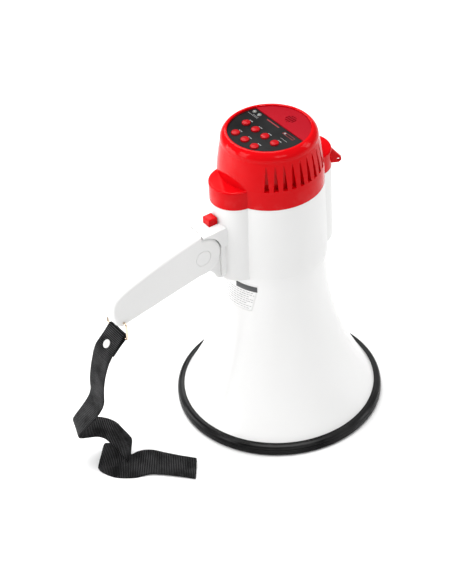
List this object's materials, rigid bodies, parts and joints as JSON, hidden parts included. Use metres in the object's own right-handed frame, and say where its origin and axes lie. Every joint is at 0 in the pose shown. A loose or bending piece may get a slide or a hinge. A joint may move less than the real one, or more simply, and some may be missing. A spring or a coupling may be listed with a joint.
{
  "type": "handheld megaphone",
  "caption": "Battery megaphone: flared bell with rubber rim, lobed body, red rear cap with keypad and microphone, folding pistol handle with trigger, webbing strap.",
  "frame": {"origin": "centre of the bell's mouth, on the plane that the rim bumper rests on", "axes": "+Z along the horn axis from the mouth to the rear cap with the control panel; -X towards the folding handle; +Y completes a right-handed frame"},
  "size_m": [0.363, 0.23, 0.3485],
  "materials": {
    "white_shell": "satin",
    "red_shell": "gloss",
    "black_panel": "satin",
    "red_panel": "satin",
    "button_red": "gloss",
    "lens_grey": "clear",
    "rim_rubber": "matte",
    "inner_white": "matte",
    "steel": "zinc plated",
    "brass": "aged",
    "webbing": "woven",
    "black_inner": "matte",
    "ferrite": "raw",
    "film": "film",
    "copper": "wound",
    "board_green": "matte",
    "cell": "printed sleeve",
    "seal": "matte"
  },
  "bodies": {
    "root": {"horn_bell": "white_shell", "bell_rim_ring": "rim_rubber", "throat_tube": "inner_white", "reflector_bowl": "inner_white", "driver_gasket": "seal", "driver_frame": "black_inner", "driver_diaphragm": "film", "voice_coil": "copper", "driver_top_plate": "steel", "driver_magnet": "ferrite", "driver_yoke": "steel", "driver_cover": "steel", "driver_screws": "steel", "body_housing": "white_shell", "rear_cap": "red_shell", "cap_screws": "steel", "control_panel": "black_panel", "mic_cover": "red_panel", "status_leds": "lens_grey", "control_board": "board_green", "board_screws": "steel", "tact_switches": "black_inner", "mic_boot": "seal", "mic_capsule": "steel", "board_components": "black_inner", "battery_carrier": "black_inner", "battery_cells": "cell", "battery_springs": "steel", "battery_lid": "black_inner", "contact_plates": "steel", "handle_bracket": "white_shell", "bracket_screws": "steel", "pivot_pin": "steel", "pivot_washers": "inner_white", "release_spring": "steel", "strap": "webbing"},
    "handle": {"handle_shell_left": "white_shell", "handle_shell_right": "white_shell", "pivot_covers": "white_shell", "handle_screws": "steel", "trigger_spring": "steel", "trigger_switch": "black_inner"},
    "ring": {"strap_ring": "brass", "strap_loop": "webbing", "strap_rivet": "brass"},
    "release": {"release_button": "red_shell", "lock_tongue": "steel"},
    "trigger_body": {"trigger": "red_shell"},
    "key_1": {"button_1": "button_red"},
    "key_2": {"button_2": "button_red"},
    "key_3": {"button_3": "button_red"},
    "key_4": {"button_4": "button_red"},
    "key_5": {"button_5": "button_red"},
    "key_6": {"button_6": "button_red"},
    "key_7": {"button_7": "button_red"}
  },
  "joints": [
    {"name": "handle_fold", "type": "hinge", "parent": "root", "child": "handle", "pos_m": [-0.098, 0, 0.238], "axis": [0, -1, 0], "range_deg": [0, 65], "deforming": ["strap"]},
    {"name": "ring_swing", "type": "hinge", "parent": "handle", "child": "ring", "pos_m": [-0.198, 0, 0.2043], "axis": [0, 1, 0], "range_deg": [-35, 35], "deforming": ["strap"]},
    {"name": "release_press", "type": "slide", "parent": "root", "child": "release", "axis": [0, 0, -1], "range_m": [0, 0.0023], "stiffness_N_per_m": 600, "springref_m": -0.001, "deforming": ["release_spring"]},
    {"name": "trigger_squeeze", "type": "slide", "parent": "handle", "child": "trigger_body", "axis": [-0.1736, 0, 0.9848], "range_m": [0, 0.0035], "stiffness_N_per_m": 400, "springref_m": -0.002, "deforming": ["trigger_spring"]},
    {"name": "button_1_press", "type": "slide", "parent": "root", "child": "key_1", "axis": [0, 0, -1], "range_m": [0, 0.0008], "stiffness_N_per_m": 300, "springref_m": -0.0005},
    {"name": "button_2_press", "type": "slide", "parent": "root", "child": "key_2", "axis": [0, 0, -1], "range_m": [0, 0.0008], "stiffness_N_per_m": 300, "springref_m": -0.0005},
    {"name": "button_3_press", "type": "slide", "parent": "root", "child": "key_3", "axis": [0, 0, -1], "range_m": [0, 0.0008], "stiffness_N_per_m": 300, "springref_m": -0.0005},
    {"name": "button_4_press", "type": "slide", "parent": "root", "child": "key_4", "axis": [0, 0, -1], "range_m": [0, 0.0008], "stiffness_N_per_m": 300, "springref_m": -0.0005},
    {"name": "button_5_press", "type": "slide", "parent": "root", "child": "key_5", "axis": [0, 0, -1], "range_m": [0, 0.0008], "stiffness_N_per_m": 300, "springref_m": -0.0005},
    {"name": "button_6_press", "type": "slide", "parent": "root", "child": "key_6", "axis": [0, 0, -1], "range_m": [0, 0.0008], "stiffness_N_per_m": 300, "springref_m": -0.0005},
    {"name": "button_7_press", "type": "slide", "parent": "root", "child": "key_7", "axis": [0, 0, -1], "range_m": [0, 0.0008], "stiffness_N_per_m": 300, "springref_m": -0.0005}
  ]
}
